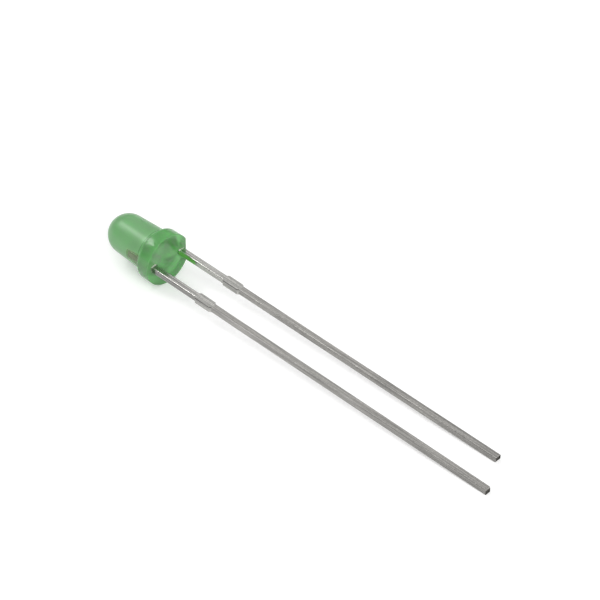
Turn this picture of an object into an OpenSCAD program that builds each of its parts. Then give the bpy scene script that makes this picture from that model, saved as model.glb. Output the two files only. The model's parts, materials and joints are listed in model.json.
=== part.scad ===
// Round 3 mm through hole LED: a cast green epoxy lens on a stamped two lead frame.
// It lies on its side, as it comes to rest on a table, with its lead tips towards +X.

/* [Lens] */
// Barrel diameter where it meets the flange
barrel_d = 3.06; // [2.9:0.02:3.2]
// Diameter of the dome at its equator
dome_d = 2.88; // [2.7:0.02:3.0]
// Height from the seat to the top of the dome
lens_h = 5.25; // [4.6:0.05:7.5]
// Straight stretch of the barrel above the flange, before the draft starts
land_h = 0.7; // [0.4:0.05:1.2]
// Flange diameter
flange_d = 3.8; // [3.6:0.05:4.4]
// Flange thickness
flange_t = 1.1; // [0.8:0.05:1.4]
// Rounding of the flange's upper edge
rim_r = 0.22; // [0.05:0.01:0.3]
// Fillet between flange and barrel
root_r = 0.08; // [0.02:0.01:0.12]
// Distance from the axis to the flat that marks the cathode
flat_off = 1.65; // [1.6:0.01:1.85]
// Diameter of the hollow that shrinkage leaves in the seat
meniscus_d = 3.12; // [3.0:0.02:3.2]
// Depth of that hollow at the axis
meniscus_h = 0.16; // [0.06:0.01:0.3]
// How far resin creeps down the inner face of each lead
creep_h = 1.55; // [0.3:0.05:2.5]
// Thickness of that film of resin at the seat
creep_t = 0.09; // [0.03:0.01:0.15]

/* [Leads] */
// Distance between the two lead centres
pitch = 2.54; // [2.4:0.01:2.6]
// Width of each lead in the plane of the strip
lead_w = 0.45; // [0.36:0.01:0.5]
// Thickness of the strip
strip_t = 0.45; // [0.36:0.01:0.5]
// Radius on the tinned edges
edge_r = 0.06; // [0.02:0.01:0.12]
// Length of the anode below the seat
anode_l = 29.5; // [20:0.5:34]
// How much shorter the cathode is
cathode_short = 1.4; // [0.5:0.1:3]
// Distance from the seat to the stop
stop_z = 4.15; // [3:0.05:8]
// Length of the stop, where the strip's cross bar was cut away
stop_l = 1.5; // [0.8:0.05:2.5]
// How far the stop stands out at each side
stop_w = 0.09; // [0.04:0.01:0.2]
// Roll of the sheared tip
tip_r = 0.16; // [0.05:0.01:0.24]
// Burnished rim round the break in the sheared face
burr_w = 0.03; // [0.02:0.01:0.08]
// How far the break stands back from that rim
burr_h = 0.04; // [0.01:0.01:0.08]

/* [Cathode head] */
// Diameter of the reflector cup at its brim
cup_d = 0.92; // [0.8:0.02:1.1]
// Diameter of the cup's floor
cup_floor_d = 0.46; // [0.4:0.02:0.6]
// Depth of the cup
cup_h = 0.34; // [0.24:0.02:0.45]
// Metal round the brim
cup_wall = 0.09; // [0.06:0.01:0.14]
// Height of the cup's brim above the seat
head_z = 2.65; // [2.4:0.05:3.6]
// Height of the coined head, from its neck to the brim
head_h = 0.55; // [0.5:0.02:0.7]
// Height at which the cathode starts to lean in to the axis
shoulder_z = 0.95; // [0.7:0.05:1.1]
// Gap between the cathode's head and the anode's post
frame_gap = 0.28; // [0.2:0.02:0.36]

/* [Anode post] */
// Width of the post at its top
post_w = 0.46; // [0.36:0.02:0.5]
// Height of the post above the seat
post_z = 2.4; // [2.2:0.05:3.4]
// Clear epoxy between the post and the barrel's wall
skin = 0.17; // [0.1:0.01:0.25]

/* [Die and bond] */
// Side of the square die
die_w = 0.26; // [0.2:0.02:0.28]
// Height of the die
die_h = 0.15; // [0.1:0.01:0.2]
// Thickness of the silver paste under the die
paste_t = 0.03; // [0.02:0.005:0.05]
// Diameter of the bond wire
wire_d = 0.03; // [0.02:0.002:0.05]
// Diameter of the ball on the die
ball_d = 0.09; // [0.07:0.01:0.12]
// Height of the ball
ball_h = 0.04; // [0.02:0.005:0.06]
// Rise of the wire above the cup's brim before it turns
loop_rise = 0.22; // [0.16:0.02:0.4]
// Radius of the wire's bend
loop_r = 0.12; // [0.08:0.02:0.2]

/* [Hidden] */
$fn = 72;
fine = 24;
past = 1;

// Leads below the seat
lead_x = pitch / 2;
lead_in = lead_x - lead_w / 2;
lead_out = lead_x + lead_w / 2;
cathode_l = anode_l - cathode_short;
sunk_z = 0.35;

// Barrel with its draft, tangent to the dome
flange_r = flange_d / 2;
barrel_r = barrel_d / 2;
dome_r = dome_d / 2;
dome_z = lens_h - dome_r;
land_z = flange_t + land_h;
reach = norm([barrel_r, dome_z - land_z]);
draft = atan2(barrel_r, dome_z - land_z) - asin(dome_r / reach);
tangent_x = dome_r * cos(draft);
tangent_z = dome_z + dome_r * sin(draft);
meniscus_r = meniscus_d / 2;
bowl_r = (pow(meniscus_r, 2) + pow(meniscus_h, 2)) / (2 * meniscus_h);

// Cathode head
brim_r = cup_d / 2 + cup_wall;
neck_r = brim_r - cup_wall;
neck_z = head_z - head_h;
cup_floor_z = head_z - cup_h;

// Anode post, which stands inside the barrel's wall
post_out = barrel_r - skin - pow(strip_t / 2, 2) / barrel_r;
post_in = post_out - post_w;

// Die, ball and wire
die_z = cup_floor_z + paste_t;
die_top = die_z + die_h;
paste_r = cup_floor_d / 2 + (cup_d - cup_floor_d) / 2 * paste_t / cup_h;
wire_r = wire_d / 2;
knuckle = 1.05;
stitch_r = 2 * wire_r;
bond_x = -(post_in + post_w / 2);
bond_z = post_z + wire_r;
bend_z = head_z + loop_rise;
bend_x = -loop_r;
span_dx = bond_x - bend_x;
span_dz = bond_z - bend_z;
span_d = norm([span_dx, span_dz]);
turn = 180 + atan2(-span_dz, -span_dx) - acos(loop_r / span_d);
span_l = sqrt(pow(span_d, 2) - pow(loop_r, 2));

// Slopes of the floor, seen from the lens, when the flange and both tips touch it
function tip_reach(across) = (lead_w / 2 - edge_r) * abs(across) + strip_t / 2 - edge_r
    + edge_r * sqrt(1 + pow(across, 2));
function rim_reach(across) = flange_r * sqrt(1 + pow(across, 2));
function settle(rounds, along = 0, across = 0) = rounds == 0 ? [along, across] :
    let (slope = (rim_reach(across) - tip_reach(across) + lead_x * across) / anode_l)
    settle(rounds - 1, slope, slope * (cathode_short + tip_r) / pitch);
floor_slopes = settle(12);
roll = -atan(floor_slopes[1]);
nose_up = atan(floor_slopes[0] * cos(roll));
lift = rim_reach(floor_slopes[1]) * cos(roll) * cos(nose_up);

// Middle of the lying part, seen from above
tip_far = anode_l * cos(nose_up) + strip_t / 2 * sin(nose_up);
dome_far = dome_z * cos(nose_up) + dome_r;
flat_far = flat_off * cos(roll) + sqrt(pow(flange_r, 2) - pow(flat_off, 2)) * abs(sin(roll));
mid_x = (tip_far - dome_far) / 2;
mid_y = (flat_far - flange_r) / 2;

// From the LED's own frame, with the dome up and the cathode at +X, to the way it lies
module lay_down() {
    translate([-mid_x, -mid_y, lift])
        rotate([0, nose_up, 0])
            rotate([roll, 0, 0])
                rotate([-90, 0, 0])
                    rotate([0, -90, 0])
                        children();
}

// Section of a tinned lead, a square with rounded edges
module lead_section(width) {
    square([width - 2 * edge_r, strip_t], center = true);
    square([width, strip_t - 2 * edge_r], center = true);
    for (x = [-1, 1], y = [-1, 1])
        translate([x * (width / 2 - edge_r), y * (strip_t / 2 - edge_r)])
            circle(r = edge_r, $fn = fine);
}

// A flat shape in the plane of the strip, cut through its thickness
module strip() {
    rotate([90, 0, 0])
        linear_extrude(height = strip_t, center = true)
            children();
}

// Roll that the shear leaves on one edge of the tip
module shear_roll() {
    difference() {
        translate([-lead_w, -strip_t / 2 - past, -past])
            cube([2 * lead_w, tip_r + past, tip_r + past]);
        translate([-lead_w - past, tip_r - strip_t / 2, tip_r])
            rotate([0, 90, 0])
                cylinder(r = tip_r, h = 2 * lead_w + 2 * past, $fn = fine);
    }
}

// Break in the sheared face, which stands back from its rim
module shear_break() {
    translate([burr_w - lead_w / 2, tip_r - strip_t / 2, -past])
        cube([lead_w - 2 * burr_w, strip_t - tip_r - burr_w, past + burr_h]);
}

// Lead below the head: shank, sheared tip and the stop left by the cross bar.
// The shear rolls the tip's upper side as the part lies, or its lower side where turned over.
module shank(length, turned_over = false) {
    difference() {
        translate([0, 0, -length])
            linear_extrude(height = length + sunk_z)
                lead_section(lead_w);
        translate([0, 0, -length])
            mirror([0, turned_over ? 1 : 0, 0]) {
                shear_roll();
                shear_break();
            }
    }
    strip()
        polygon([
            [-lead_w / 2, -stop_z],
            [lead_w / 2, -stop_z],
            [lead_w / 2 + stop_w, -stop_z - stop_w],
            [lead_w / 2 + stop_w, stop_w - stop_z - stop_l],
            [lead_w / 2, -stop_z - stop_l],
            [-lead_w / 2, -stop_z - stop_l],
            [-lead_w / 2 - stop_w, stop_w - stop_z - stop_l],
            [-lead_w / 2 - stop_w, -stop_z - stop_w]
        ]);
}

// Cathode lead, which carries the coined reflector cup on the axis
module cathode_frame() {
    translate([lead_x, 0, 0])
        shank(cathode_l, turned_over = true);
    strip()
        polygon([
            [lead_in, sunk_z],
            [lead_out, sunk_z],
            [lead_out, shoulder_z],
            [lead_out - cup_wall, shoulder_z + lead_w],
            [neck_r, neck_z - cup_wall],
            [neck_r, neck_z],
            [-neck_r, neck_z],
            [-neck_r, neck_z - lead_w],
            [-cup_wall, shoulder_z + cup_wall],
            [lead_in - lead_w, sunk_z + lead_w / 2]
        ]);
    rotate_extrude()
        polygon([
            [0, neck_z],
            [neck_r, neck_z],
            [brim_r, head_z],
            [cup_d / 2, head_z],
            [cup_floor_d / 2, cup_floor_z],
            [0, cup_floor_z]
        ]);
}

// Anode lead, with the post that takes the bond wire
module anode_frame() {
    translate([-lead_x, 0, 0])
        shank(anode_l);
    strip()
        polygon([
            [-lead_in, sunk_z],
            [-lead_out, sunk_z],
            [-lead_out, shoulder_z],
            [-post_out, shoulder_z + lead_w],
            [-post_out, post_z],
            [-post_in, post_z],
            [-post_in, neck_z - lead_w],
            [-neck_r - frame_gap, neck_z - lead_w],
            [-cup_wall - frame_gap, shoulder_z + cup_wall],
            [-frame_gap - lead_w, sunk_z + lead_w / 2]
        ]);
}

// Outline of the lens: flange, barrel with its draft, dome and hollow seat
module lens_outline() {
    difference() {
        union() {
            square([flange_r - rim_r, flange_t]);
            square([flange_r, flange_t - rim_r]);
            translate([flange_r - rim_r, flange_t - rim_r])
                circle(r = rim_r, $fn = fine);
            polygon([
                [0, 0],
                [barrel_r, 0],
                [barrel_r, land_z],
                [tangent_x, tangent_z],
                [0, tangent_z]
            ]);
            intersection() {
                translate([0, dome_z])
                    circle(r = dome_r);
                translate([0, dome_z])
                    square(lens_h);
            }
            difference() {
                translate([barrel_r, flange_t])
                    square(root_r);
                translate([barrel_r + root_r, flange_t + root_r])
                    circle(r = root_r, $fn = fine);
            }
        }
        translate([0, meniscus_h - bowl_r])
            circle(r = bowl_r, $fn = 360);
    }
}

// Film of resin that creeps down the inner face of a lead
module creep() {
    rotate([90, 0, 0])
        linear_extrude(height = strip_t - 2 * edge_r, center = true)
            polygon([
                [0, sunk_z],
                [-2 * creep_t, sunk_z],
                [-creep_t, -creep_t],
                [-creep_t / 2, -creep_h / 2],
                [0, -creep_h]
            ]);
}

module epoxy_lens() {
    color([0.42, 0.72, 0.46, 0.75])
        lay_down()
            difference() {
                union() {
                    difference() {
                        rotate_extrude()
                            lens_outline();
                        translate([flat_off, -flange_r, -past])
                            cube([flange_d, flange_d, flange_t + past]);
                    }
                    translate([lead_in, 0, 0])
                        creep();
                    translate([-lead_in, 0, 0])
                        mirror([1, 0, 0])
                            creep();
                }
                cathode_frame();
                anode_frame();
                paste();
                die();
                bond();
            }
}

module cathode_lead() {
    color([0.62, 0.63, 0.63])
        lay_down()
            cathode_frame();
}

module anode_lead() {
    color([0.62, 0.63, 0.63])
        lay_down()
            anode_frame();
}

module die() {
    translate([-die_w / 2, -die_w / 2, die_z])
        cube([die_w, die_w, die_h]);
}

module led_die() {
    color([0.78, 0.76, 0.42])
        lay_down()
            die();
}

// Silver paste that covers the floor of the cup
module paste() {
    translate([0, 0, cup_floor_z])
        cylinder(r1 = cup_floor_d / 2, r2 = paste_r, h = paste_t);
}

module die_attach() {
    color([0.75, 0.75, 0.76])
        lay_down()
            paste();
}

// Ball, riser, bend and span of the bond wire, and the stitch on the post
module bond() {
    translate([0, 0, die_top])
        cylinder(d = ball_d, h = ball_h, $fn = fine);
    translate([0, 0, die_top])
        cylinder(r = wire_r, h = bend_z - die_top, $fn = fine);
    translate([bend_x, 0, bend_z])
        rotate([90, 0, 0])
            rotate_extrude(angle = turn, $fn = 72)
                translate([loop_r, 0])
                    circle(r = wire_r, $fn = fine);
    translate([bend_x + loop_r * cos(turn), 0, bend_z + loop_r * sin(turn)]) {
        sphere(r = knuckle * wire_r, $fn = fine);
        rotate([0, -turn, 0])
            cylinder(r = wire_r, h = span_l, $fn = fine);
    }
    translate([bond_x, 0, post_z])
        cylinder(r = stitch_r, h = wire_d, $fn = fine);
}

module bond_wire() {
    color([0.85, 0.68, 0.28])
        lay_down()
            bond();
}

epoxy_lens();
cathode_lead();
anode_lead();
led_die();
die_attach();
bond_wire();
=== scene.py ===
# Round 3 mm through hole LED, lying on a white table: two tinned leads cast into a green epoxy lens.

import json
import math
import bmesh
import bpy
from mathutils import Matrix, Vector


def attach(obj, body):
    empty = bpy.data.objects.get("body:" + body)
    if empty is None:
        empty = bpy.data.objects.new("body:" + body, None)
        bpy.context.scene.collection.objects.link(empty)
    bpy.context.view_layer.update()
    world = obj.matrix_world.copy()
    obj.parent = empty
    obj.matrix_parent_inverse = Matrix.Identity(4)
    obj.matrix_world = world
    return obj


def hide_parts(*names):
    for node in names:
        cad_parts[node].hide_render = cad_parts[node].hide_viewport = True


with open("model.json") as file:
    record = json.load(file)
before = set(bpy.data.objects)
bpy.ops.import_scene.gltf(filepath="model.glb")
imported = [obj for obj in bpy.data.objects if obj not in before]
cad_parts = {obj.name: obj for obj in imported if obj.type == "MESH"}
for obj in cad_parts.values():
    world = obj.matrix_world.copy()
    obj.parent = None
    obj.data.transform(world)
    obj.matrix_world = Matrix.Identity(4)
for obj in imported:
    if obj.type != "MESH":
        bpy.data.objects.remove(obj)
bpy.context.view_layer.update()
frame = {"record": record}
MM = 0.001

# Lead frame
# Both leads are punched from one steel strip, plated with silver and later dipped in tin up to the stop.
# The dip leaves a satin grey coat with fine drag lines; above the stop the plating is still bright.

seat = next(m for m in frame["record"]["mounts"] if m["name"] == "seat")
seat_at = Vector(seat["pos_m"])
leads_run = Vector(seat["axis"])
pitch = 2.54 * MM
lead_w = 0.45 * MM
strip_t = 0.45 * MM
edge_r = 0.06 * MM
cathode_short = 1.4 * MM
stop_z = 4.15 * MM
stop_end = 5.65 * MM
tip_r = 0.16 * MM
burr_w = 0.03 * MM
# Width of the painted shade along the stop's upper corners.
corner_shade_w = 0.11 * MM
nose_up = math.atan2(-leads_run.z, leads_run.x)
roll = -math.asin(math.tan(nose_up) * (cathode_short + tip_r) / pitch)
lying = (Matrix.Translation(seat_at) @ Matrix.Rotation(nose_up, 4, "Y") @ Matrix.Rotation(roll, 4, "X")
         @ Matrix.Rotation(-math.pi / 2, 4, "X") @ Matrix.Rotation(-math.pi / 2, 4, "Y"))

# The head's silver is painted light, lighter than the plating, for the dim light inside the resin.
silver_painted_light_hex = "#f0ede6"
plated_hex = "#c6c5c1"
pressed_hex = "#c8c7c3"
tin_hex = "#bab8b4"
steel_hex = "#4f4d49"
soft_edge = 0.1 * MM
side_from = 0.45
side_full = 0.9
corner_from = 0.4
corner_full = 0.6
tip_facing = 0.95
# Factors of painted shade on the cut sides of the leads and on the stop's upper corners.
outer_shade_plated = 0.42
inner_shade_plated = 0.86
side_shade_pressed = 0.64
stop_corner_shade_tone = 0.28
darken_from = 7 * MM
darken_to = 25 * MM
darken_tone = 0.88
resin_metal = 0.3
plated_rough = 0.22
tin_rough = 0.42
# Real drag lines are 0.01 to 0.03 mm wide and the tin's grain is finer still. They are drawn coarser, so that
# they show.
drag_line = 0.12 * MM
fine_line = 0.05 * MM
drag_depth = 0.004 * MM
drag_stretch = 0.015
tin_grain = 0.06 * MM
noise_low = 0.36
noise_high = 0.64


def linear(hex_colour):
    """An sRGB hex value as the linear colour that a shader socket takes."""
    parts = [int(hex_colour[i:i + 2], 16) / 255 for i in (1, 3, 5)]
    return [p / 12.92 if p <= 0.04045 else ((p + 0.055) / 1.055) ** 2.4 for p in parts] + [1.0]


def add(tree, kind, settings=None, links=None):
    """One node with its settings, by attribute or input, and its links from nodes or their outputs."""
    made = tree.nodes.new(kind)
    for key, value in (settings or {}).items():
        if isinstance(key, str) and hasattr(made, key):
            setattr(made, key, value)
        else:
            made.inputs[key].default_value = value
    for key, source in (links or {}).items():
        output = source.outputs[0] if isinstance(source, bpy.types.Node) else source
        tree.links.new(output, made.inputs[key])
    return made


def new_material(name):
    """An empty node material and its tree."""
    made = bpy.data.materials.new(name)
    made.use_nodes = True
    made.node_tree.nodes.clear()
    return made, made.node_tree


def dress(node, made):
    """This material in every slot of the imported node."""
    shown = bpy.data.objects[node]
    if not shown.material_slots:
        shown.data.materials.append(made)
    for slot in shown.material_slots:
        slot.material = made


def own_frame(tree):
    """Positions in the LED's own frame: X to the cathode, Y across the strip, Z up to the dome."""
    place = add(tree, "ShaderNodeTexCoord")
    turned = {"vector_type": "TEXTURE", "Location": lying.translation, "Rotation": lying.to_euler()}
    return add(tree, "ShaderNodeMapping", turned, {"Vector": place.outputs["Object"]})


def lead_lines(tree, own, width):
    """Noise drawn out along the leads, in lines of about that width."""
    stretched = add(tree, "ShaderNodeMapping", {"Scale": (1, 1, drag_stretch)}, {"Vector": own})
    return add(tree, "ShaderNodeTexNoise", {"Scale": 1 / width, "Detail": 2.0}, {"Vector": stretched})


# The strip's head, inside the resin, is matt silver painted light: lighter than the plating outside,
# standing in for the light that barely reaches the metal in the lens. Its legs are plated bright as far as
# the stop, which the punch pressed dull, and dipped beyond it.
tinned, tree = new_material("hot_dipped_tin")
own = own_frame(tree)
apart = add(tree, "ShaderNodeSeparateXYZ", {}, {"Vector": own})
height = apart.outputs["Z"]
outside = add(tree, "ShaderNodeMapRange", {"From Min": 0, "From Max": -soft_edge}, {"Value": height})
pressed = add(tree, "ShaderNodeMapRange", {"From Min": -stop_z, "From Max": -stop_z - soft_edge},
              {"Value": height})
dipped = add(tree, "ShaderNodeMapRange", {"From Min": -stop_end, "From Max": -stop_end - soft_edge},
             {"Value": height})
tone = add(tree, "ShaderNodeMix", {"data_type": "RGBA", 6: linear(silver_painted_light_hex), 7: linear(plated_hex)},
           {0: outside})
tone = add(tree, "ShaderNodeMix", {"data_type": "RGBA", 7: linear(pressed_hex)},
           {0: pressed, 6: tone.outputs[2]})
tone = add(tree, "ShaderNodeMix", {"data_type": "RGBA", 7: linear(tin_hex)}, {0: dipped, 6: tone.outputs[2]})

# The cut sides get painted shade: darker than the faces, the outer one most where it is only plated,
# standing in for the shaded table that the sides reflect.
facing = add(tree, "ShaderNodeTexCoord")
across = add(tree, "ShaderNodeVectorMath", {"operation": "DOT_PRODUCT", 1: lying.col[0].xyz},
             {0: facing.outputs["Normal"]})
side = add(tree, "ShaderNodeMath", {"operation": "SIGN"}, {0: apart.outputs["X"]})
outward = add(tree, "ShaderNodeMath", {"operation": "MULTIPLY"}, {0: across.outputs["Value"], 1: side})
outer_shade_tone = add(tree, "ShaderNodeMapRange", {"To Min": outer_shade_plated, "To Max": side_shade_pressed},
                 {"Value": pressed})
outer_side_shade = add(tree, "ShaderNodeMapRange", {"From Min": side_from, "From Max": side_full, "To Min": 1},
                {"Value": outward, "To Max": outer_shade_tone})
inner_shade_tone = add(tree, "ShaderNodeMapRange", {"To Min": inner_shade_plated, "To Max": side_shade_pressed},
                 {"Value": pressed})
inner_side_shade = add(tree, "ShaderNodeMapRange", {"From Min": -side_from, "From Max": -side_full, "To Min": 1},
                {"Value": outward, "To Max": inner_shade_tone})

# The tin was drawn out along the leads as they left the dip, and the leads are darker towards their tips.
wide_lines = lead_lines(tree, own, drag_line)
fine_lines = lead_lines(tree, own, fine_line)
grain = add(tree, "ShaderNodeTexNoise", {"Scale": 1 / tin_grain, "Detail": 3.0}, {"Vector": own})
shade = add(tree, "ShaderNodeMapRange", {"From Min": -darken_from, "From Max": -darken_to, "To Min": 1.0,
                                         "To Max": darken_tone}, {"Value": height})
for noise, dark, light in ((wide_lines, 0.88, 1.1), (fine_lines, 0.72, 1.26), (grain, 0.8, 1.18)):
    layer = add(tree, "ShaderNodeMapRange", {"From Min": noise_low, "From Max": noise_high, "To Min": dark,
                                             "To Max": light}, {"Value": noise.outputs["Fac"]})
    shade = add(tree, "ShaderNodeMath", {"operation": "MULTIPLY"}, {0: shade, 1: layer})

# The stop's upper corners get painted shade: a dark band along the edge where the cross bar was sheared off.
sided = add(tree, "ShaderNodeMath", {"operation": "ABSOLUTE"}, {0: across.outputs["Value"]})
sided = add(tree, "ShaderNodeMapRange", {"From Min": corner_from, "From Max": corner_full}, {"Value": sided})
corner = add(tree, "ShaderNodeMapRange",
             {"From Min": corner_shade_w - strip_t / 2, "From Max": (corner_shade_w - strip_t) / 2},
             {"Value": apart.outputs["Y"]})
on_stop = add(tree, "ShaderNodeMath", {"operation": "SUBTRACT"}, {0: pressed, 1: dipped})
stop_corner_shade = add(tree, "ShaderNodeMath", {"operation": "MULTIPLY"}, {0: sided, 1: corner})
stop_corner_shade = add(tree, "ShaderNodeMath", {"operation": "MULTIPLY"}, {0: stop_corner_shade, 1: on_stop})
stop_corner_shade = add(tree, "ShaderNodeMapRange", {"To Min": 1, "To Max": stop_corner_shade_tone}, {"Value": stop_corner_shade})
for layer in (outer_side_shade, inner_side_shade, stop_corner_shade):
    shade = add(tree, "ShaderNodeMath", {"operation": "MULTIPLY"}, {0: shade, 1: layer})
shaded = add(tree, "ShaderNodeVectorMath", {"operation": "SCALE"}, {0: tone.outputs[2], "Scale": shade})

# The cut tips are bare steel inside a rim of tin that the cutter drew over them.
endward = add(tree, "ShaderNodeVectorMath", {"operation": "DOT_PRODUCT", 1: -lying.col[2].xyz},
              {0: facing.outputs["Normal"]})
end_face = add(tree, "ShaderNodeMath", {"operation": "GREATER_THAN", 1: tip_facing},
               {0: endward.outputs["Value"]})
under_rim = add(tree, "ShaderNodeMath", {"operation": "GREATER_THAN", 1: burr_w - strip_t / 2},
                {0: apart.outputs["Y"]})
broken = add(tree, "ShaderNodeMath", {"operation": "MULTIPLY"}, {0: end_face, 1: under_rim})
colour = add(tree, "ShaderNodeMix", {"data_type": "RGBA", 7: linear(steel_hex)}, {0: broken, 6: shaded})
metal = add(tree, "ShaderNodeMapRange", {"To Min": resin_metal, "To Max": 1}, {"Value": outside})
rough = add(tree, "ShaderNodeMapRange", {"To Min": plated_rough, "To Max": tin_rough}, {"Value": pressed})
relief = add(tree, "ShaderNodeBump", {"Strength": 0.4, "Distance": drag_depth},
             {"Height": wide_lines.outputs["Fac"]})
surface = add(tree, "ShaderNodeBsdfPrincipled", {},
              {"Base Color": colour.outputs[2], "Metallic": metal, "Roughness": rough, "Normal": relief})
add(tree, "ShaderNodeOutputMaterial", {}, {"Surface": surface})

dress("cathode_lead", tinned)
dress("anode_lead", tinned)

# Die and paste
# The die is a sawn square of gallium phosphide, yellowish and a little see-through, held in the cup.
# The paste under it is epoxy filled with silver flake, cured to a dull grey.

die_hex = "#b7a83c"
paste_hex = "#b4b4b2"
# The flakes are a few thousandths of a millimetre across and are drawn coarser, so that they show.
flake = 0.02 * MM
saw_depth = 0.002 * MM
paste_smooth = 0.35
paste_rough = 0.6

crystal, tree = new_material("gallium_phosphide")
place = add(tree, "ShaderNodeTexCoord")
sawn = add(tree, "ShaderNodeTexNoise", {"Scale": 1 / flake, "Detail": 3.0},
           {"Vector": place.outputs["Object"]})
relief = add(tree, "ShaderNodeBump", {"Strength": 0.2, "Distance": saw_depth},
             {"Height": sawn.outputs["Fac"]})
surface = add(tree, "ShaderNodeBsdfPrincipled",
              {"Base Color": linear(die_hex), "Roughness": 0.25, "IOR": 2.2}, {"Normal": relief})
add(tree, "ShaderNodeOutputMaterial", {}, {"Surface": surface})
dress("led_die", crystal)

paste, tree = new_material("silver_filled_epoxy")
place = add(tree, "ShaderNodeTexCoord")
flakes = add(tree, "ShaderNodeTexVoronoi", {"Scale": 1 / flake}, {"Vector": place.outputs["Object"]})
sparkle = add(tree, "ShaderNodeMapRange", {"To Min": paste_smooth, "To Max": paste_rough},
              {"Value": flakes.outputs["Distance"]})
surface = add(tree, "ShaderNodeBsdfPrincipled", {"Base Color": linear(paste_hex), "Metallic": 0.7},
              {"Roughness": sparkle})
add(tree, "ShaderNodeOutputMaterial", {}, {"Surface": surface})
dress("die_attach", paste)

# Bond wire
# Drawn gold, 0.03 mm thick, welded as a ball on the die and as a stitch on the post.
# Its surface is bright and clean.

gold_hex = "#e0b35a"
gold_smooth = 0.12
gold_rough = 0.22

gold, tree = new_material("drawn_gold")
place = add(tree, "ShaderNodeTexCoord")
drawn = add(tree, "ShaderNodeTexNoise", {"Scale": 1 / flake, "Detail": 2.0},
            {"Vector": place.outputs["Object"]})
sheen = add(tree, "ShaderNodeMapRange", {"To Min": gold_smooth, "To Max": gold_rough},
            {"Value": drawn.outputs["Fac"]})
surface = add(tree, "ShaderNodeBsdfPrincipled", {"Base Color": linear(gold_hex), "Metallic": 1.0},
              {"Roughness": sheen})
add(tree, "ShaderNodeOutputMaterial", {}, {"Surface": surface})
dress("bond_wire", gold)

# Lens
# Green epoxy cast round the frame in a polished mould cup, dome down. A powder in it spreads the light.
# The surface is glossy, the resin hollow at the seat where it shrank, and it creeps down both leads.

inside = 0.003 * MM
flange_r = 1.9 * MM - inside
flange_t = 1.1 * MM
rim_r = 0.22 * MM
foot_r = 0.03 * MM
root_r = 0.08 * MM
barrel_r = 1.53 * MM
land_z = 1.8 * MM
lens_h = 5.25 * MM
dome_r = 1.44 * MM - inside
dome_z = lens_h - inside - dome_r
flat_off = 1.65 * MM
meniscus_r = 1.56 * MM
meniscus_h = 0.16 * MM
turns = 144
land_rings = 4
ease = 0.5
weld = 0.0005 * MM
sharp_corner = 35
sunk_z = 0.35 * MM
creep_h = 1.55 * MM
creep_t = 0.09 * MM
creep_taper = 0.8
creep_rings = 8
creep_sides = 3


def arc(centre, radius, first, last, steps):
    """Points on an arc in the profile's plane, by angle in degrees."""
    angles = [math.radians(first + (last - first) * i / steps) for i in range(steps + 1)]
    return [(centre[0] + radius * math.cos(a), centre[1] + radius * math.sin(a)) for a in angles]


bowl_r = (meniscus_r ** 2 + meniscus_h ** 2) / (2 * meniscus_h)
bowl_edge = math.degrees(math.asin(meniscus_r / bowl_r))
draft = math.degrees(math.atan2(barrel_r, dome_z - land_z)
                     - math.asin(dome_r / math.hypot(barrel_r, dome_z - land_z)))
profile = (arc((0, meniscus_h - bowl_r), bowl_r, 90, 90 - bowl_edge, 12)
           + arc((flange_r - foot_r, foot_r), foot_r, -90, 0, 3)
           + arc((flange_r - rim_r, flange_t - rim_r), rim_r, 0, 90, 8)
           + arc((barrel_r + root_r, flange_t + root_r), root_r, 270, 180, 6)
           + [(barrel_r, land_z * i / land_rings + (flange_t + root_r) * (1 - i / land_rings))
              for i in range(1, land_rings + 1)]
           + arc((0, dome_z), dome_r, draft, draft + ease, 1)
           + arc((0, dome_z), dome_r, draft + ease, 90, 32)[1:])

# The tree turns the profile about the axis, cuts the flat where the flange passes it and joins the films.
spin = bpy.data.node_groups.new("lens_turned", "GeometryNodeTree")
for name, kind, way in (("Profile", "NodeSocketGeometry", "INPUT"), ("Turns", "NodeSocketInt", "INPUT"),
                        ("Flat", "NodeSocketFloat", "INPUT"), ("Resin", "NodeSocketMaterial", "INPUT"),
                        ("Cathode film", "NodeSocketObject", "INPUT"),
                        ("Anode film", "NodeSocketObject", "INPUT"),
                        ("Lens", "NodeSocketGeometry", "OUTPUT")):
    spin.interface.new_socket(name, in_out=way, socket_type=kind)
given = add(spin, "NodeGroupInput")
count = add(spin, "GeometryNodeAttributeDomainSize", {}, {"Geometry": given.outputs["Profile"]})
columns = add(spin, "ShaderNodeMath", {"operation": "ADD", 1: 1.0}, {0: given.outputs["Turns"]})
sheet = add(spin, "GeometryNodeMeshGrid", {},
            {"Vertices X": count.outputs["Point Count"], "Vertices Y": columns})
number = add(spin, "GeometryNodeInputIndex")
row = add(spin, "ShaderNodeMath", {"operation": "DIVIDE"}, {0: number, 1: columns})
whole = add(spin, "ShaderNodeMath", {"operation": "FLOOR"}, {0: row})
part_turn = add(spin, "ShaderNodeMath", {"operation": "SUBTRACT"}, {0: row, 1: whole})
share = add(spin, "ShaderNodeMath", {"operation": "MULTIPLY"}, {0: part_turn, 1: columns})
turn = add(spin, "ShaderNodeMath", {"operation": "DIVIDE"}, {0: share, 1: given.outputs["Turns"]})
angle = add(spin, "ShaderNodeMath", {"operation": "MULTIPLY", 1: 2 * math.pi}, {0: turn})
spot = add(spin, "GeometryNodeInputPosition")
picked = add(spin, "GeometryNodeSampleIndex", {"data_type": "FLOAT_VECTOR"},
             {"Geometry": given.outputs["Profile"], "Value": spot, "Index": whole})
swung = add(spin, "ShaderNodeVectorRotate", {"rotation_type": "Z_AXIS"},
            {"Vector": picked.outputs["Value"], "Angle": angle})
split = add(spin, "ShaderNodeSeparateXYZ", {}, {0: swung})
cut = add(spin, "ShaderNodeMath", {"operation": "MINIMUM"}, {0: split.outputs["X"], 1: given.outputs["Flat"]})
joined = add(spin, "ShaderNodeCombineXYZ", {}, {"X": cut, "Y": split.outputs["Y"], "Z": split.outputs["Z"]})
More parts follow.
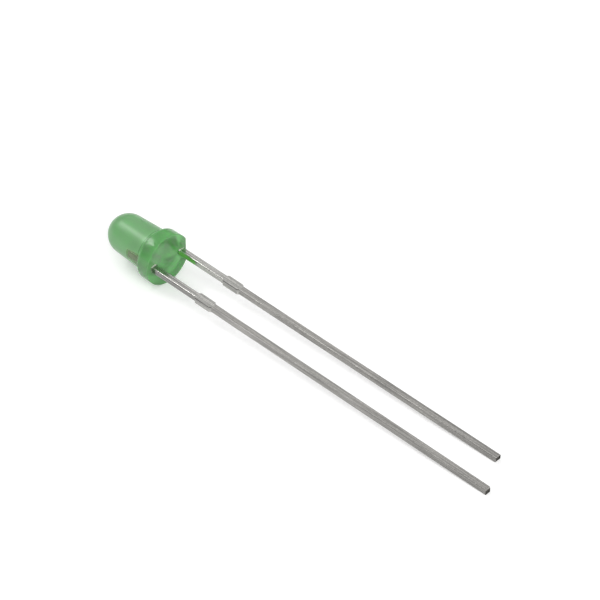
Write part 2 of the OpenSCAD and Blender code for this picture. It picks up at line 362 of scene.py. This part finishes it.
moved = add(spin, "GeometryNodeSetPosition", {}, {"Geometry": sheet, "Position": joined})
closed = add(spin, "GeometryNodeMergeByDistance", {"Distance": weld}, {"Geometry": moved})
united = add(spin, "GeometryNodeMeshBoolean", {"operation": "UNION", "solver": "EXACT"}, {"Mesh 2": closed})
for name in ("Cathode film", "Anode film"):
    film = add(spin, "GeometryNodeObjectInfo", {}, {"Object": given.outputs[name]})
    spin.links.new(film.outputs["Geometry"], united.inputs["Mesh 2"])
solid = add(spin, "GeometryNodeRealizeInstances", {}, {"Geometry": united})
coated = add(spin, "GeometryNodeSetMaterial", {}, {"Geometry": solid, "Material": given.outputs["Resin"]})
add(spin, "NodeGroupOutput", {}, {"Lens": coated})

# Diffused epoxy: a glossy skin, and a body that tints and scatters light. The powder sank towards the
# dome while the lens was cast dome down, so the flange is clearer and shows the frame inside. On the
# barrel only a thin skin of resin covers the anode's post. The post's dim look through it, metal that
# reflects the dark inside of the lens, is a painted reflection: a brownish patch on the lens's surface.
resin_hex = "#96d892"
cloudy_hex = "#84bb83"
film_hex = "#70c05a"
# Colour of the painted reflection of the anode's post on the barrel.
painted_post_hex = "#aac48a"
resin_depth = (0.50, 0.96, 0.52, 1.0)
dye_density = 800.0
scatter = 0.5 * MM
clear_to = 0.8 * MM
cloudy_from = 1.3 * MM
flange_clear = 0.72
barrel_clear = 0.35
film_share = 0.4
flange_rough = 0.1
barrel_rough = 0.32
film_edge = 0.05 * MM
post_z = 2.4 * MM
post_fade = 0.15 * MM
painted_post_in = 1.42 * MM
painted_post_out = 1.5 * MM
painted_post_clear = 0.88
painted_post_rough = 0.22
# The powder's grains can't be seen one by one, so its clouds are drawn instead.
powder = 0.08 * MM
cloud_low = 0.3
cloud_high = 0.7
cloud_dark = 0.97
cloud_light = 1.03
resin, tree = new_material("diffused_green_epoxy")
own = own_frame(tree)
apart = add(tree, "ShaderNodeSeparateXYZ", {}, {"Vector": own})
height = apart.outputs["Z"]
film = add(tree, "ShaderNodeMapRange", {"From Min": 0, "From Max": -film_edge}, {"Value": height})
settled = add(tree, "ShaderNodeMapRange", {"From Min": 0, "From Max": land_z}, {"Value": height})
clear = add(tree, "ShaderNodeMapRange", {"From Min": clear_to, "From Max": cloudy_from,
                                         "To Min": flange_clear, "To Max": barrel_clear}, {"Value": height})
thin = add(tree, "ShaderNodeMapRange", {"To Min": 1, "To Max": film_share}, {"Value": film})
clear = add(tree, "ShaderNodeMath", {"operation": "MULTIPLY"}, {0: clear, 1: thin})
blur = add(tree, "ShaderNodeMapRange", {"To Min": flange_rough, "To Max": barrel_rough}, {"Value": settled})
# Mask of the painted post patch on the barrel, where the post's dim reflection is painted.
outer = add(tree, "ShaderNodeMapRange", {"From Min": -painted_post_in, "From Max": -painted_post_out},
            {"Value": apart.outputs["X"]})
below = add(tree, "ShaderNodeMapRange", {"From Min": post_z + post_fade, "From Max": post_z},
            {"Value": height})
above = add(tree, "ShaderNodeMath", {"operation": "GREATER_THAN", 1: flange_t}, {0: height})
painted_post = add(tree, "ShaderNodeMath", {"operation": "MULTIPLY"}, {0: outer, 1: below})
painted_post = add(tree, "ShaderNodeMath", {"operation": "MULTIPLY"}, {0: painted_post, 1: above})
clear = add(tree, "ShaderNodeMix", {"data_type": "FLOAT", 3: painted_post_clear}, {0: painted_post, 2: clear})
blur = add(tree, "ShaderNodeMix", {"data_type": "FLOAT", 3: painted_post_rough}, {0: painted_post, 2: blur})
bare = add(tree, "ShaderNodeMath", {"operation": "MAXIMUM"}, {0: film, 1: painted_post})
deep = add(tree, "ShaderNodeMapRange", {"To Min": 1, "To Max": 0}, {"Value": bare})
cloud = add(tree, "ShaderNodeTexNoise", {"Scale": 1 / powder, "Detail": 4.0}, {"Vector": own})
depth = add(tree, "ShaderNodeMapRange", {"From Min": cloud_low, "From Max": cloud_high,
                                         "To Min": cloud_dark, "To Max": cloud_light},
            {"Value": cloud.outputs["Fac"]})
tint = add(tree, "ShaderNodeMix", {"data_type": "RGBA", 6: linear(resin_hex), 7: linear(cloudy_hex)},
           {0: settled})
tint = add(tree, "ShaderNodeMix", {"data_type": "RGBA", 7: linear(film_hex)}, {0: film, 6: tint.outputs[2]})
# The painted post patch, brownish over the resin's tint.
tint = add(tree, "ShaderNodeMix", {"data_type": "RGBA", 7: linear(painted_post_hex)}, {0: painted_post, 6: tint.outputs[2]})
colour = add(tree, "ShaderNodeVectorMath", {"operation": "SCALE"}, {0: tint.outputs[2], "Scale": depth})
surface = add(tree, "ShaderNodeBsdfPrincipled",
              {"IOR": 1.53, "Subsurface Scale": scatter, "Subsurface Radius": (0.5, 1.0, 0.5)},
              {"Base Color": colour, "Transmission Weight": clear, "Roughness": blur,
               "Subsurface Weight": deep})
body_tint = add(tree, "ShaderNodeVolumeAbsorption", {"Color": resin_depth, "Density": dye_density})
add(tree, "ShaderNodeOutputMaterial", {}, {"Surface": surface, "Volume": body_tint})


def creep(name, side):
    """A film of resin on the inner face of a lead, thinning downwards. Its back lies inside the metal."""
    half = strip_t / 2 - edge_r
    face = pitch / 2 - lead_w / 2
    columns = range(-creep_sides, creep_sides + 1)
    heights = [sunk_z, 0] + [-creep_h * i / creep_rings for i in range(1, creep_rings + 1)]
    ring = []
    for z in heights:
        thick = creep_t * max(1 + z / creep_h, 0) ** creep_taper
        bulge = [thick * math.sqrt(1 - (k / creep_sides) ** 2) for k in columns]
        ring.append([(side * (face - b), half * k / creep_sides, z) for k, b in zip(columns, bulge)]
                    + [(side * (face + edge_r), half, z), (side * (face + edge_r), -half, z)])
    made = bmesh.new()
    rings = [[made.verts.new(p) for p in r] for r in ring]
    for above, below in zip(rings, rings[1:]):
        for k in range(len(above)):
            nxt = (k + 1) % len(above)
            made.faces.new((above[k], above[nxt], below[nxt], below[k]))
    made.faces.new(rings[0])
    made.faces.new(rings[-1])
    bmesh.ops.recalc_face_normals(made, faces=made.faces)
    mesh = bpy.data.meshes.new(name)
    made.to_mesh(mesh)
    made.free()
    film = bpy.data.objects.new(name, mesh)
    bpy.context.scene.collection.objects.link(film)
    return film


outline = bpy.data.meshes.new("lens_profile")
outline.from_pydata([(r, 0, z) for r, z in profile], [(i, i + 1) for i in range(len(profile) - 1)], [])
blank = bpy.data.objects.new("lens_blank", outline)
bpy.context.scene.collection.objects.link(blank)
films = {"Cathode film": creep("cathode_film", 1), "Anode film": creep("anode_film", -1)}
turner = blank.modifiers.new("turned", "NODES")
turner.node_group = spin
for socket in spin.interface.items_tree:
    if socket.in_out == "INPUT" and socket.name != "Profile":
        turner[socket.identifier] = {"Turns": turns, "Flat": flat_off, "Resin": resin, **films}[socket.name]
body = bpy.data.meshes.new_from_object(blank.evaluated_get(bpy.context.evaluated_depsgraph_get()))
for spare in [blank, *films.values()]:
    bpy.data.objects.remove(spare)
body.transform(lying)
work = bmesh.new()
work.from_mesh(body)
bmesh.ops.recalc_face_normals(work, faces=work.faces)
work.to_mesh(body)
work.free()
body.shade_smooth()
body.set_sharp_from_angle(angle=math.radians(sharp_corner))
lens = bpy.data.objects.new("green_lens", body)
bpy.context.scene.collection.objects.link(lens)
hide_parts("epoxy_lens")
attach(lens, "root")

# Table
# A plain white board, lit until it is white, that keeps the LED's soft shadow.
# Metal and clear resin see it as white too.

board_hex = "#e6e6e6"
board_lift = 0.3
half_board = 3

white, tree = new_material("white_board")
path = add(tree, "ShaderNodeLightPath")
seen = add(tree, "ShaderNodeMath", {"operation": "MAXIMUM"},
           {0: path.outputs["Is Camera Ray"], 1: path.outputs["Is Glossy Ray"]})
seen = add(tree, "ShaderNodeMath", {"operation": "MAXIMUM"},
           {0: seen, 1: path.outputs["Is Transmission Ray"]})
lift = add(tree, "ShaderNodeMath", {"operation": "MULTIPLY", 1: board_lift}, {0: seen})
matt = add(tree, "ShaderNodeBsdfDiffuse", {"Color": linear(board_hex)})
glow = add(tree, "ShaderNodeEmission", {"Color": (1, 1, 1, 1)}, {"Strength": lift})
both = add(tree, "ShaderNodeAddShader", {}, {0: matt, 1: glow})
add(tree, "ShaderNodeOutputMaterial", {}, {"Surface": both})
board = bpy.data.meshes.new("board")
board.from_pydata([(x * half_board, y * half_board, 0) for x, y in ((-1, -1), (1, -1), (1, 1), (-1, 1))],
                  [], [(0, 1, 2, 3)])
board.materials.append(white)
table = bpy.data.objects.new("table", board)
bpy.context.scene.collection.objects.link(table)

# Light and camera
# One long soft box behind the dome gives the streak along the barrel and the lit edges of the leads. The
# rest is a pale room, lighter overhead, with a low white backdrop that metal and resin see too. The camera
# looks down along the leads from their tips.

room_low = 0.35
room_high = 0.85
ceiling = 0.9
backdrop_top = 0.12

room = bpy.data.worlds.new("white_room")
room.use_nodes = True
tree = room.node_tree
tree.nodes.clear()
direction = add(tree, "ShaderNodeTexCoord")
rise = add(tree, "ShaderNodeSeparateXYZ", {}, {"Vector": direction.outputs["Generated"]})
walls = add(tree, "ShaderNodeMapRange", {"From Max": ceiling, "To Min": room_low, "To Max": room_high},
            {"Value": rise.outputs["Z"]})
path = add(tree, "ShaderNodeLightPath")
seen = add(tree, "ShaderNodeMath", {"operation": "MAXIMUM"},
           {0: path.outputs["Is Camera Ray"], 1: path.outputs["Is Glossy Ray"]})
seen = add(tree, "ShaderNodeMath", {"operation": "MAXIMUM"},
           {0: seen, 1: path.outputs["Is Transmission Ray"]})
low = add(tree, "ShaderNodeMath", {"operation": "LESS_THAN", 1: backdrop_top}, {0: rise.outputs["Z"]})
backdrop = add(tree, "ShaderNodeMath", {"operation": "MULTIPLY"}, {0: seen, 1: low})
glow = add(tree, "ShaderNodeMath", {"operation": "MAXIMUM"}, {0: walls, 1: backdrop})
air = add(tree, "ShaderNodeBackground", {"Color": (1, 1, 1, 1)}, {"Strength": glow})
add(tree, "ShaderNodeOutputWorld", {}, {"Surface": air})
bpy.context.scene.world = room


def soft_box(name, direction, away, size, watts):
    """A rectangular lamp that shines on the lens from that direction."""
    lamp = bpy.data.lights.new(name, "AREA")
    lamp.shape = "RECTANGLE"
    lamp.size, lamp.size_y = size
    lamp.energy = watts
    holder = bpy.data.objects.new(name, lamp)
    holder.location = seat_at + direction.normalized() * away
    holder.rotation_euler = direction.to_track_quat("Z", "Y").to_euler()
    bpy.context.scene.collection.objects.link(holder)


soft_box("streak_light", Vector((-0.57, -0.19, 0.80)), away=0.3, size=(0.12, 0.08), watts=0.18)
soft_box("fill_light", Vector((0.78, -0.30, 0.55)), away=0.5, size=(0.25, 0.25), watts=1.2)

aim = Vector((-4.754, 4.982, -0.642)) * MM
camera_away = 175.86 * MM
azimuth = math.radians(-42.739)
elevation = math.radians(39.538)
lean = math.radians(-4.123)
lens_mm = 158.53
back = Vector((math.cos(azimuth) * math.cos(elevation), math.sin(azimuth) * math.cos(elevation),
               math.sin(elevation)))
level = Vector((0, 0, 1)).cross(back).normalized()
right = Matrix.Rotation(lean, 3, back) @ level
up = back.cross(right)
eye = bpy.data.cameras.new("camera")
eye.lens = lens_mm
eye.sensor_width = 36
eye.clip_start = 0.01
eye.clip_end = 10
camera = bpy.data.objects.new("camera", eye)
camera.matrix_world = (Matrix.Translation(aim + back * camera_away)
                       @ Matrix((right, up, back)).transposed().to_4x4())
bpy.context.scene.collection.objects.link(camera)
bpy.context.scene.camera = camera
bpy.context.scene.view_settings.view_transform = "Standard"
